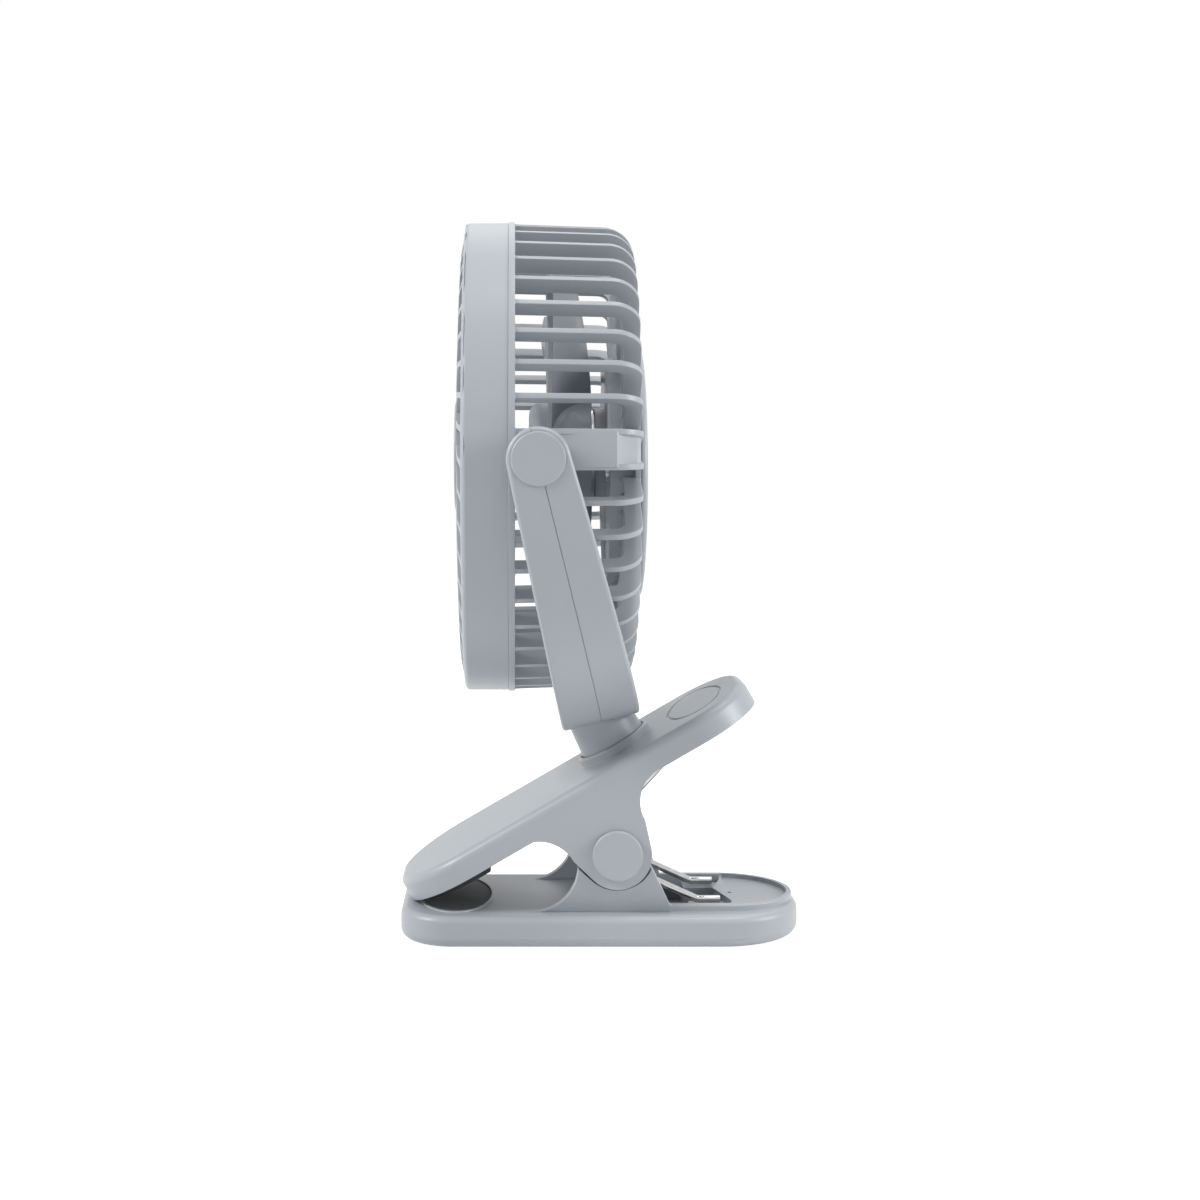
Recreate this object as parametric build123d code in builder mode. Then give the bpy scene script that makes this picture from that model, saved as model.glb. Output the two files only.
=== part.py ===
from build123d import *
from math import acos, atan2, cos, degrees, hypot, pi, radians, sin, sqrt
import os

# A small clip fan. A round head turns in a U-shaped yoke, the yoke's neck swivels in a
# collar on the upper jaw, and a spring closes that jaw on a flat lower jaw, which is also
# the foot that the fan stands on.
# Frame: +Z up, -X where the air leaves, Y along the hinge pins. The origin is the centre
# of the underside. Millimetres.

# ---------------------------------------------------------------- driving dimensions
# Clearances
body_gap = 0.3          # between pieces that move past each other
running_gap = 0.06      # radial, of a turning fit
thread_gap = 0.02       # radial, between a screw and its hole

# Lower jaw, which is the base
base_length = 108.4
base_width = 51.6
base_front_corner = 14.4
base_rear_corner = 22.5
base_height = 8.4
base_top_round = 2.0
base_bottom_round = 2.8
base_wall = 2.2
cover_thickness = 2.0
cover_inset = 3.2       # of the underside plate from the outline
cover_ledge = 1.6
deck_height = 10.1      # of the raised rear deck, above the table
deck_half_width = 19.4  # and the radius of its round rear end
deck_margin = 1.0       # from its rear end to the base's
deck_round = 0.5
thumb_depth = 1.2       # of the thumb rest in the deck
thumb_rim = 1.5
thumb_start = 36.0      # where the thumb rest starts, from the centre
thumb_point = 4.4       # how far its front edge reaches forward at the middle
thumb_lead = 0.8        # and beside the well
slot_length = 2.6       # mark in the thumb rest
slot_width = 1.4
slot_from_point = 3.8   # behind the point of its front edge
well_start = 16.6       # the opening that the spring's legs go into
well_half_width = 17.0
ledge_start = 24.0      # the ledges that the spring's legs press on
ledge_top = 8.4
ledge_half_width = 3.2
cover_screw_margin = 11.2  # from the base's ends
cover_screw_y = 13.0
cover_boss_radius = 3.2
cover_screw_radius = 1.25
cover_screw_length = 5.0
cover_head_radius = 2.4
countersink_depth = 1.2

# Hinge of the two jaws
hinge_x = 3.9
pin_radius = 2.5
hinge_cap_radius = 6.7
hinge_cap_thickness = 1.5
cap_round = 0.5
ear_outer = 24.0        # outer face of all four ears, from the middle
ear_thickness = 3.0
lug_thickness = 3.0
lug_radius = 7.5
cradle_gap = 0.5        # round the upper jaw's lobe
base_ear_radius = 12.2  # concave front edge of the base's ear
base_ear_front = -18.7  # where that edge meets the base
base_ear_lip = -6.5     # and where it ends at the cradle
base_ear_back_top = 13.2
base_ear_back = 18.2
ear_lean_top = 20.5      # under this height the base's ear draws in to its foot
ear_foot_step = 0.8      # by which its foot stays wider than the raised deck

# Upper jaw, in its own slope: u up the slope and v square to it, from the hinge
jaw_angle = 30.0
jaw_top = 21.2
jaw_nose = 55.9         # length to the front of the hinge
nose_rest = 3.65        # the nose's reach under the hinge less the hinge's height
jaw_tail = 52.7         # and to the back
jaw_depth = 7.0
jaw_wall = 2.2
jaw_half_width = 24.0
nose_corner = 20.0
tail_corner = 18.0
jaw_top_round = 2.4
lobe_radius = 9.2
ear_root_front = 10.9   # half-breadths of the ear above the lobe
ear_root_back = 11.0
ear_root_height = 4.3
ear_blend_front = 10.7  # where the ear runs into the jaw's side
ear_blend_back = 10.1
rib_thickness = 1.5
nose_rib_pitch = 7.0
thumb_oval_length = 17.0
thumb_oval_width = 32.0
thumb_oval_at = 38.0
oval_groove = 0.8
oval_depth = 0.5

# Rubber pads
pad_thickness = 1.8
upper_pad_length = 21.0
upper_pad_inset = 3.4
lower_pad_length = 19.2
lower_pad_width = 40.0
lower_pad_margin = 14.8  # from its middle to the base's front end
lower_pad_depth = 1.4   # set into the base
pad_rim = 1.0
pad_rim_height = 0.3

# Torsion spring
wire_radius = 1.0
coil_radius = 4.2       # to the middle of the wire
coil_pitch = 2.6
coil_turns = 3
leg_spread = 11.0       # of the two lower legs from the middle
leg_touch = 26.2        # where the legs come down, from the centre
leg_foot = 6.2          # flat end of each leg
leg_bend = 3.0
bridge_reach = 43.0     # up the slope, where the bridge presses under the tail
bridge_run = 4.0

# Swivel of the yoke on the upper jaw
collar_at = 13.3        # up the slope from the hinge
collar_radius = 10.75
collar_height = 2.4
collar_bore = 9.75
collar_floor = 0.3      # bottom of the bore above the jaw's top
collar_round = 0.6
neck_radius = 9.4
neck_top_radius = 8.6
neck_top_height = 31.5  # over the hinge, where the taper ends
spigot_radius = 6.0
neck_washer_radius = 8.6
neck_washer_thickness = 1.2
neck_screw_radius = 1.6
neck_screw_head = 3.2
neck_screw_head_height = 1.6
neck_screw_length = 9.0

# Yoke
yoke_lean = 14.0
yoke_outer = 73.9
yoke_drop = 1.3         # of the outer face's centre, so that the band is thicker below
yoke_thickness = 5.5
yoke_seat = 0.048       # from the neck's end to where the outer radius reaches
yoke_ahead = 0.462      # of the pivots in front of the neck's end, square to the yoke
arm_end_radius = 7.8
arm_foot_half = 10.9
yoke_round = 1.0
yoke_wall = 1.6
parting_groove = 0.25
neck_socket_depth = 2.9
yoke_core_half = 13.0   # solid part over the neck
arm_solid = 12.0        # and this far from the pivots
yoke_screw_radius = 1.5
yoke_screw_head = 2.8
yoke_screw_head_height = 1.2
yoke_screw_sink = 0.2   # of the head under the inner face
yoke_screw_length = 8.0
yoke_screw_spread = 4.6

# Head pivots
shoulder_radius = 2.5
pivot_thread_radius = 1.5
pivot_thread_length = 6.0
pivot_head_radius = 4.2
pivot_head_thickness = 1.6
pivot_web = 2.5         # of the arm under the screw's head
pivot_cap_radius = 6.7
pivot_cap_thickness = 1.1
pivot_cap_plug = 0.5
cap_recess = 0.6
washer_play = 0.4
pivot_boss_radius = 6.0
pivot_boss_reach = 3.9   # into the cage from the ribs' outside
washer_thickness = 0.8
washer_radius = 6.0

# Head, whose lengths along the fan's axis start at a zero behind the pivots
pivot_ahead = 17.75
rim_radius = 64.3
rim_front = -36.75
seam_x = -25.0
slot_start = -23.3
rim_wall = 2.3
rim_lip = 4.4           # breadth of the rim's front face
rim_round = 1.4
seam_ridge = 0.3
lip_length = 4.0        # of the cage inside the rim
lip_wall = 2.0
cage_radius = 64.1      # outside of the ribs at the rim
cage_taper = 0.9
cage_shoulder = 0.9     # where the ribs start to turn in
cage_corner = 7.8
rib_end = 26.0          # where the ribs run into the housing
cage_centre_rise = 0.7  # the back bulges this much towards the middle
rib_count = 45
rib_width = 1.45
rib_depth = 4.6
side_panel_wall = 2.2
side_panel_recess = 0.6 # under the ribs
panel_crease = 1.7      # where the panel's corner starts, cut off in two flats
panel_facet = 5.1       # breadth and fall of the first of them
panel_fall = 4.4        # and the fall of the second, which ends at the back

# Front grille
grille_rise = 2.2        # of its middle in front of the rim
grille_shoulder_rise = 1.0
grille_shoulder_radius = 57.0
grille_crown = 0.3      # how far it bulges between the two
grille_depth = 2.6
grille_ring_radius = 36.0
grille_ring_width = 2.0
grille_inner_ribs = 15
grille_rib_width = 1.5
grille_sweep = 14.0     # degrees that each front rib leans round
guard_cap_radius = 15.0
guard_cap_thickness = 0.9

# Housing for battery and circuit on the back
housing_drop = 4.3      # its centre lies this far under the fan's axis
housing_radius = 31.5
housing_wall = 1.8
housing_front = 1.5
housing_floor = 1.2
cover_radius = 34.9
back_cover_x = 9.5
back_cover_thickness = 1.8
back_cover_round = 1.3
cover_skirt = 1.5
cover_seat = 1.6
wire_hole_radius = 3.0
inner_boss_radius = 2.4
inner_boss_at = 26.6
inner_screw_radius = 1.0
inner_screw_head = 2.0
inner_screw_length = 6.0

# Motor and rotor
motor_radius = 11.8
motor_front = -12.6
motor_socket_wall = 1.5
motor_socket_length = 3.0
motor_round = 1.2
shaft_radius = 1.0
shaft_inside = 8.0
hub_radius = 15.3
hub_front = -19.4
hub_back = -2.5
hub_wall = 1.6
hub_round = 4.0
hub_boss_radius = 3.4
blade_count = 5
blade_tip_radius = 54.0
blade_overrun = 4.0     # cut off round at the tip
blade_bow = 0.11        # share of the chord
blade_thickness = 1.5
blade_front = -14.7     # front edge of all its sections
blade_root_chord = 17.0
blade_mid_chord = 23.0
blade_tip_chord = 25.0
blade_root_pitch = 42.0
blade_mid_pitch = 23.0
blade_tip_pitch = 8.0
blade_mid_lag = 9.0     # degrees that the blade leans round
blade_tip_lag = 20.0

# Electrics on the back
battery_length = 46.0
battery_height = 34.0
battery_thickness = 3.2
battery_corner = 3.0
battery_round = 1.0
board_radius = 23.8
board_thickness = 0.8
board_gap = 0.2
post_spread = 20.0
post_rise = 38.4
post_radius = 1.2
button_drop = 2.0       # below the housing's centre
button_radius = 5.4
button_proud = 0.6
button_gap = 0.25
button_travel = 0.4
button_flange = 6.6
button_flange_thickness = 0.9
switch_size = 6.0
switch_height = 1.2
port_drop = 17.0
port_width = 8.9
port_height = 3.2
port_corner = 1.5
port_wall = 0.35
port_sink = 0.3
port_play = 0.3
lens_rise = 12.0
lens_length = 7.0
lens_width = 2.0

# ---------------------------------------------------------------- planes and points
hinge_z = jaw_nose * sin(radians(jaw_angle)) - nose_rest
hinge = Vector(hinge_x, 0, hinge_z)
slope = Vector(cos(radians(jaw_angle)), 0, sin(radians(jaw_angle)))
slope_up = Vector(-sin(radians(jaw_angle)), 0, cos(radians(jaw_angle)))
jaw_plane = Plane(origin=hinge, x_dir=slope, z_dir=slope_up)
jaw_side = Plane(origin=hinge, x_dir=slope, z_dir=(0, -1, 0))
base_side = Plane(origin=hinge, x_dir=(1, 0, 0), z_dir=(0, -1, 0))

across = Vector(cos(radians(yoke_lean)), 0, sin(radians(yoke_lean)))
down = Vector(sin(radians(yoke_lean)), 0, -cos(radians(yoke_lean)))
neck_top = hinge + slope * collar_at + slope_up * neck_top_height
pivot = neck_top - down * (yoke_outer - yoke_seat) + across * yoke_ahead
head_z = pivot.Z
fan_x = pivot.X + pivot_ahead
yoke_ring = Plane(origin=pivot, x_dir=(0, 1, 0), z_dir=across)
yoke_outer_ring = Plane(origin=pivot + down * yoke_drop, x_dir=(0, 1, 0), z_dir=across)
yoke_side = Plane(origin=pivot, x_dir=across, z_dir=(0, -1, 0))
pivot_side = Plane(origin=pivot, x_dir=(1, 0, 0), z_dir=(0, -1, 0))

fan_axis = Axis((fan_x, 0, head_z), (1, 0, 0))
fan_section = Plane(origin=(fan_x, 0, head_z), x_dir=(1, 0, 0), z_dir=(0, -1, 0))
housing_z = head_z - housing_drop


def across_fan(x, z=head_z):
    """Plane square to the fan's axis at x, facing the back, with Y and Z in it."""
    return Plane(origin=(fan_x + x, 0, z), x_dir=(0, 1, 0), z_dir=(1, 0, 0))


def rib_plane(angle):
    """Plane that holds the fan's axis, turned so that its second direction is radial."""
    radial = Vector(0, cos(radians(angle)), sin(radians(angle)))
    return Plane(origin=(fan_x, 0, head_z), x_dir=(1, 0, 0), z_dir=Vector(1, 0, 0).cross(radial))


def tangent_angle(point, radius, side):
    """Where on a circle round the origin the line from a point touches it, in degrees."""
    return degrees(atan2(point[1], point[0])) + side * degrees(acos(radius / hypot(*point)))


# ---------------------------------------------------------------- shared outlines
ear_inner = ear_outer - ear_thickness
jaw_edge = jaw_top - jaw_depth
jaw_roof = jaw_top - jaw_wall
jaw_length = jaw_nose + jaw_tail
jaw_middle = (jaw_tail - jaw_nose) / 2
roof_under = base_height - base_wall
lug_outer = ear_inner - body_gap
lug_inner = lug_outer - lug_thickness
deck_end = base_length / 2 - deck_margin
cover_screw_x = base_length / 2 - cover_screw_margin
lower_pad_at = lower_pad_margin - base_length / 2
yoke_inner = yoke_outer - yoke_thickness


def jaw_ear(plane, grow=0):
    """Side outline of the upper jaw's ear: two blends above, the round lobe below."""
    front_point = (-ear_root_front, ear_root_height)
    back_point = (ear_root_back, ear_root_height)
    start = tangent_angle(front_point, lobe_radius, 1)
    end = tangent_angle(back_point, lobe_radius, -1) + 360
    with BuildSketch(plane) as outline:
        with BuildLine():
            front = CenterArc(
                (-ear_root_front - ear_blend_front, ear_root_height), ear_blend_front, 0, 90
            )
            back = CenterArc(
                (ear_root_back + ear_blend_back, ear_root_height), ear_blend_back, 90, 90
            )
            lobe = CenterArc((0, 0), lobe_radius, start, end - start)
            Line(front_point, lobe @ 0)
            Line(lobe @ 1, back_point)
            Polyline(
                front @ 1,
                ((front @ 1).X, jaw_top - jaw_top_round),
                ((back @ 0).X, jaw_top - jaw_top_round),
                back @ 0,
            )
        make_face()
        if grow:
            offset(amount=grow)
    return outline.sketch


def jaw_plan(height, inset):
    """Plan of the upper jaw at a height over the hinge, drawn in from its edge."""
    with BuildSketch(jaw_plane.offset(height)) as plan:
        with Locations((jaw_middle, 0)):
            Rectangle(jaw_length - 2 * inset, 2 * (jaw_half_width - inset))
        fillet(plan.vertices().sort_by(Axis.X)[:2], nose_corner - inset)
        fillet(plan.vertices().sort_by(Axis.X)[-2:], tail_corner - inset)
    return plan.sketch


def base_ear(plane, lug=0):
    """Side outline of the base's ear, whole over the cradle, or with a lug's round top."""
    with BuildSketch(plane) as outline:
        with BuildLine():
            edge = CenterArc(
                (base_ear_front - hinge_x, base_height + base_ear_radius - hinge_z),
                base_ear_radius,
                -90,
                90,
            )
            Polyline(
                edge @ 1,
                (base_ear_back_top - hinge_x, (edge @ 1).Y),
                (base_ear_back - hinge_x, deck_height - hinge_z),
                (base_ear_back - hinge_x, roof_under - hinge_z),
                (base_ear_front - hinge_x, roof_under - hinge_z),
                edge @ 0,
            )
        make_face()
        if lug:
            Circle(lug)
    return outline.sketch


# ---------------------------------------------------------------- upper jaw
nose_rib_middle = -jaw_nose + upper_pad_inset + upper_pad_length / 2

# Ribs that the nose pad lies on, short of the walls all round
with BuildPart() as nose_ribs:
    with BuildSketch(jaw_plane.offset(jaw_edge)):
        with Locations((nose_rib_middle, 0)):
            with GridLocations(nose_rib_pitch, 1, 3, 1):
                Rectangle(rib_thickness, 2 * jaw_half_width)
    extrude(amount=jaw_depth - jaw_wall / 2)
    extrude(jaw_plan(jaw_edge, 2 * jaw_wall), amount=jaw_depth, mode=Mode.INTERSECT)

with BuildPart() as upper_jaw:
    extrude(jaw_plan(jaw_edge, 0), amount=jaw_depth)
    fillet(upper_jaw.faces().sort_by(Axis(hinge, slope_up))[-1].edges(), jaw_top_round)
    extrude(jaw_plan(jaw_edge, jaw_wall), amount=jaw_depth - jaw_wall, mode=Mode.SUBTRACT)
    add(nose_ribs.part)
    # Ears
    for start in (ear_inner, -ear_outer):
        extrude(jaw_ear(jaw_side.offset(start)), amount=ear_thickness)
    # Collar of the swivel
    with BuildSketch(jaw_plane.offset(jaw_roof)):
        with Locations((collar_at, 0)):
            Circle(collar_radius)
    extrude(amount=jaw_wall + collar_height)
    fillet(
        upper_jaw.faces().sort_by(Axis(hinge, slope_up))[-1].edges(),
        collar_round,
    )
    with BuildSketch(jaw_plane.offset(jaw_top + collar_floor)):
        with Locations((collar_at, 0)):
            Circle(collar_bore)
    extrude(amount=collar_height, mode=Mode.SUBTRACT)
    with BuildSketch(jaw_plane.offset(jaw_edge)):
        with Locations((collar_at, 0)):
            Circle(spigot_radius + running_gap)
    extrude(amount=jaw_depth + collar_height, mode=Mode.SUBTRACT)
    # Oval outline of the thumb rest
    with BuildSketch(jaw_plane.offset(jaw_top)):
        with Locations((thumb_oval_at, 0)):
            Ellipse(thumb_oval_length / 2, thumb_oval_width / 2)
            Ellipse(
                thumb_oval_length / 2 - oval_groove,
                thumb_oval_width / 2 - oval_groove,
                mode=Mode.SUBTRACT,
            )
    extrude(amount=-oval_depth, mode=Mode.SUBTRACT)
    # Holes for the hinge pin
    with BuildSketch(base_side):
        Circle(pin_radius + running_gap)
    extrude(amount=ear_outer + 1, both=True, mode=Mode.SUBTRACT)

with BuildPart() as upper_jaw_pad:
    extrude(jaw_plan(jaw_edge, upper_pad_inset), amount=-pad_thickness)
    with BuildSketch(jaw_plane.offset(jaw_edge)):
        with Locations((-jaw_nose + upper_pad_inset + upper_pad_length + jaw_length / 2, 0)):
            Rectangle(jaw_length, 2 * jaw_half_width)
    extrude(amount=-pad_thickness, mode=Mode.SUBTRACT)

# ---------------------------------------------------------------- lower jaw
pad_floor = base_height - lower_pad_depth
deck_rise = deck_height - roof_under
thumb_floor = deck_height - thumb_depth


def base_plan(height, inset):
    """Plan of the lower jaw at a height, drawn in from its outline."""
    with BuildSketch(Plane.XY.offset(height)) as plan:
        Rectangle(base_length - 2 * inset, base_width - 2 * inset)
        fillet(plan.vertices().sort_by(Axis.X)[:2], base_front_corner - inset)
        fillet(plan.vertices().sort_by(Axis.X)[-2:], base_rear_corner - inset)
    return plan.sketch


def deck_plan(height, start, inset):
    """Plan of the raised deck from a place along it to its round rear end."""
    half = deck_half_width - inset
    middle = deck_end - deck_half_width
    with BuildSketch(Plane.XY.offset(height)) as plan:
        with Locations((middle, 0)):
            Circle(half)
        with Locations((start - half, 0)):
            Rectangle(2 * half, 2 * half, mode=Mode.SUBTRACT)
        with Locations((start, 0)):
            Rectangle(middle - start, 2 * half, align=(Align.MIN, Align.CENTER))
    return plan.sketch


with BuildPart() as base_shell:
    extrude(base_plan(0, 0), amount=base_height)
    fillet(base_shell.faces().sort_by(Axis.Z)[-1].edges(), base_top_round)
    fillet(base_shell.faces().sort_by(Axis.Z)[0].edges(), base_bottom_round)
    # Raised deck behind the ears
    extrude(deck_plan(roof_under, hinge_x, 0), amount=deck_rise)
    fillet(base_shell.faces().sort_by(Axis.Z)[-1].edges(), deck_round)
    # Ears that cradle the upper jaw's lobes, with the lugs inside them
    for start in (lug_inner, -ear_outer):
        extrude(base_ear(base_side.offset(start)), amount=ear_outer - lug_inner)
    for start in (lug_outer, -ear_outer):
        extrude(
            jaw_ear(jaw_side.offset(start), cradle_gap),
            amount=ear_outer - lug_outer,
            mode=Mode.SUBTRACT,
        )
    for start in (lug_inner, -lug_outer):
        extrude(base_ear(base_side.offset(start), lug_radius), amount=lug_thickness)
    for side in (-1, 1):
        with BuildSketch(Plane.YZ):
            with BuildLine():
                Polyline(
                    (side * ear_outer, ear_lean_top),
                    (side * ear_outer, base_height),
                    (side * (deck_half_width + ear_foot_step), base_height),
                    close=True,
                )
            make_face()
        extrude(amount=base_length / 2, both=True, mode=Mode.SUBTRACT)
    # Thumb rest: a shallow floor inside a thin rim, pointed at its front edge
    extrude(
        deck_plan(thumb_floor, thumb_start - thumb_lead, thumb_rim),
        amount=thumb_depth,
        mode=Mode.SUBTRACT,
    )
    with BuildSketch(Plane.XY.offset(thumb_floor)):
        with Locations((thumb_start - thumb_point + slot_from_point, 0)):
            SlotOverall(slot_length, slot_width)
    extrude(amount=-thumb_depth / 2, mode=Mode.SUBTRACT)
    # Well for the spring's legs, through the roof into the hollow
    with BuildSketch(Plane.XY.offset(cover_thickness)):
        with BuildLine():
            Polyline(
                (well_start, -well_half_width),
                (thumb_start, -well_half_width),
                (thumb_start - thumb_point, 0),
                (thumb_start, well_half_width),
                (well_start, well_half_width),
                close=True,
            )
        make_face()
    extrude(amount=deck_height, mode=Mode.SUBTRACT)
    # Hollow underside, with a recess that the underside plate seats in
    extrude(base_plan(0, cover_inset), amount=cover_thickness, mode=Mode.SUBTRACT)
    extrude(
        base_plan(0, cover_inset + cover_ledge), amount=roof_under, mode=Mode.SUBTRACT
    )
    # Ledges under the spring's feet, carried by two walls across the well
    for side in (-1, 1):
        with BuildSketch(Plane.XY.offset(cover_thickness + body_gap)):
            with Locations(((ledge_start + thumb_start) / 2, side * leg_spread)):
                Rectangle(thumb_start - ledge_start, 2 * ledge_half_width)
        extrude(amount=ledge_top - cover_thickness - body_gap)
    # Bosses for the underside screws
    with BuildSketch(Plane.XY.offset(cover_thickness)):
        with GridLocations(2 * cover_screw_x, 2 * cover_screw_y, 2, 2):
            Circle(cover_boss_radius)
    extrude(amount=roof_under - cover_thickness + base_wall / 2)
    with BuildSketch(Plane.XY.offset(cover_thickness)):
        with GridLocations(2 * cover_screw_x, 2 * cover_screw_y, 2, 2):
            Circle(cover_screw_radius + thread_gap)
    extrude(amount=cover_screw_length - cover_thickness + thread_gap, mode=Mode.SUBTRACT)
    # Raised rim and recess of the nose pad
    with BuildSketch(Plane.XY.offset(base_height - base_wall / 2)):
        with Locations((lower_pad_at, 0)):
            Ellipse(lower_pad_length / 2 + pad_rim, lower_pad_width / 2 + pad_rim)
    extrude(amount=base_wall / 2 + pad_rim_height)
    with BuildSketch(Plane.XY.offset(pad_floor)):
        with Locations((lower_pad_at, 0)):
            Ellipse(lower_pad_length / 2, lower_pad_width / 2)
    extrude(amount=lower_pad_depth + pad_rim_height, mode=Mode.SUBTRACT)
    # Holes for the hinge pin
    with BuildSketch(base_side):
        Circle(pin_radius)
    extrude(amount=ear_outer, both=True, mode=Mode.SUBTRACT)

with BuildPart() as lower_jaw_pad:
    with BuildSketch(Plane.XY.offset(pad_floor)):
        with Locations((lower_pad_at, 0)):
            Ellipse(lower_pad_length / 2, lower_pad_width / 2)
    extrude(amount=lower_pad_depth)

cover_screw_grid = GridLocations(2 * cover_screw_x, 2 * cover_screw_y, 2, 2)
on_table = (Align.CENTER, Align.CENTER, Align.MIN)

with BuildPart() as base_cover:
    extrude(base_plan(0, cover_inset + thread_gap), amount=cover_thickness)
    with cover_screw_grid:
        Hole(cover_screw_radius + running_gap)
        Cone(
            cover_head_radius,
            cover_screw_radius,
            countersink_depth,
            align=on_table,
            mode=Mode.SUBTRACT,
        )

with BuildPart() as base_cover_screws:
    with cover_screw_grid:
        Cylinder(cover_screw_radius, cover_screw_length, align=on_table)
        Cone(
            cover_head_radius - thread_gap,
            cover_screw_radius,
            countersink_depth,
            align=on_table,
        )

with BuildPart() as hinge_pin:
    with BuildSketch(base_side):
        Circle(pin_radius)
    extrude(amount=ear_outer, both=True)

with BuildPart() as hinge_caps:
    for start in (ear_outer + running_gap, -ear_outer - running_gap - hinge_cap_thickness):
        with BuildSketch(base_side.offset(start)):
            Circle(hinge_cap_radius)
        extrude(amount=hinge_cap_thickness)
    fillet(
        hinge_caps.faces().filter_by(Axis.Y).sort_by(Axis.Y)[0].edges()
        + hinge_caps.faces().filter_by(Axis.Y).sort_by(Axis.Y)[-1].edges(),
        cap_round,
    )

# ---------------------------------------------------------------- torsion spring
leg_height = ledge_top + body_gap + wire_radius
bridge_height = jaw_roof - body_gap - wire_radius
quarter_turns = 4 * coil_turns + 1


def spring_turn(start, start_way, end, end_way):
    """Two tangent arcs that take the wire from one point and direction to the next."""
    reach = end - start
    spread = 2 * (1 - start_way.dot(end_way))
    along = reach.dot(start_way + end_way)
    arm = (sqrt(along**2 + spread * reach.dot(reach)) - along) / spread
    joint = (start + end + (start_way - end_way) * arm) * 0.5
    first = TangentArc(start, joint, tangent=start_way)
    return TangentArc(joint, end, tangent=first % 1)


leg_corner = Vector(leg_touch, -leg_spread, leg_height)
foot_end = leg_corner + Vector(leg_foot, 0, 0)
bridge_corner = hinge + slope * bridge_reach + slope_up * bridge_height
leg_angle = tangent_angle(
    (leg_corner.X - hinge_x, leg_corner.Z - hinge_z), coil_radius, -1
)
bridge_angle = tangent_angle(
    (bridge_corner.X - hinge_x, bridge_corner.Z - hinge_z), coil_radius, 1
)
coil_sweep = bridge_angle - 360 * coil_turns - leg_angle - 360
bridge_half = leg_spread - coil_pitch * -coil_sweep / 360
bridge_near = Vector(bridge_corner.X, -bridge_half, bridge_corner.Z)


def coil_point(share):
    """Point on the near coil and the wire's direction there, from leg to bridge."""
    angle = radians(leg_angle + coil_sweep * share)
    place = Vector(cos(angle), 0, sin(angle)) * coil_radius
    advance = 0 if share in (0, 1) else coil_pitch / (2 * pi * coil_radius)
    way = Vector(sin(angle), advance, -cos(angle)).normalized()
    side = -leg_spread + (leg_spread - bridge_half) * share
    return hinge + place + Vector(0, side, 0), way


with BuildPart() as torsion_spring:
    with BuildLine() as wire_path:
        FilletPolyline(foot_end, leg_corner, coil_point(0)[0], radius=leg_bend)
        for step in range(quarter_turns):
            here, way = coil_point(step / quarter_turns)
            there, next_way = coil_point((step + 1) / quarter_turns)
            spring_turn(here, way, there, next_way)
        upper_leg = FilletPolyline(
            coil_point(1)[0], bridge_near, bridge_near + slope * bridge_run, radius=leg_bend
        )
        bridge_end = upper_leg @ 1
        mirror(about=Plane.XZ)
        TangentArc(
            bridge_end, Vector(bridge_end.X, -bridge_end.Y, bridge_end.Z), tangent=slope
        )
    wire = wire_path.wires()[0]
    with BuildSketch(Plane(origin=wire @ 0, z_dir=wire % 0)):
        Circle(wire_radius)
    sweep(path=wire)

wire_points = [wire @ (step / 1500) for step in range(1501)]
apart = int(4 * wire_radius / wire.length * 1500) + 1
least = min(
    (wire_points[i] - wire_points[j]).length
    for i in range(len(wire_points))
    for j in range(i + apart, len(wire_points))
)
print("spring wire", round(wire.length, 1), "mm, least gap", round(least - 2 * wire_radius, 2))

# ---------------------------------------------------------------- swivel of the yoke
collar_centre = hinge + slope * collar_at
neck_section = Plane(origin=collar_centre, x_dir=slope, z_dir=(0, -1, 0))
neck_axis = Axis(collar_centre, slope_up)
neck_foot = jaw_top + collar_floor + running_gap
neck_end = neck_top_height + neck_socket_depth + neck_top_radius / 2
spigot_end = jaw_roof - running_gap
socket_radius = yoke_outer - neck_socket_depth
screw_seat = yoke_inner + yoke_screw_sink + yoke_screw_head_height


def neck_post(grow):
    """Tapered post of the neck up to the bottom of its socket in the yoke."""
    with BuildPart() as post:
        with BuildSketch(neck_section):
            with BuildLine():
                Polyline(
                    (0, neck_foot),
                    (neck_radius + grow, neck_foot),
                    (neck_radius + grow, jaw_top + collar_height),
                    (neck_top_radius + grow, neck_top_height),
                    (neck_top_radius + grow, neck_end),
                    (0, neck_end),
                    close=True,
                )
            make_face()
        revolve(axis=neck_axis)
        with BuildSketch(yoke_outer_ring):
            Circle(socket_radius - grow)
        extrude(amount=2 * arm_foot_half, both=True, mode=Mode.SUBTRACT)
    return post.part


def collar_disc(height, radius):
    """Circle round the swivel's axis at a height over the hinge."""
    with BuildSketch(jaw_plane.offset(height)) as disc:
        with Locations((collar_at, 0)):
            Circle(radius)
    return disc.sketch


def yoke_screw_discs(distance, radius):
    """Circles round the yoke's two screws, at a distance down from the pivot."""
    plane = Plane(origin=pivot + down * distance, x_dir=across, z_dir=down)
    with BuildSketch(plane) as discs:
        with GridLocations(1, 2 * yoke_screw_spread, 1, 2):
            Circle(radius)
    return discs.sketch


with BuildPart() as swivel_neck:
    add(neck_post(0))
    extrude(collar_disc(spigot_end, spigot_radius), amount=neck_foot - spigot_end)
    extrude(
        collar_disc(spigot_end, neck_screw_radius + thread_gap),
        amount=neck_screw_length,
        mode=Mode.SUBTRACT,
    )
    extrude(
        yoke_screw_discs(screw_seat, yoke_screw_radius + thread_gap),
        amount=yoke_screw_length + thread_gap,
        mode=Mode.SUBTRACT,
    )

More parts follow.
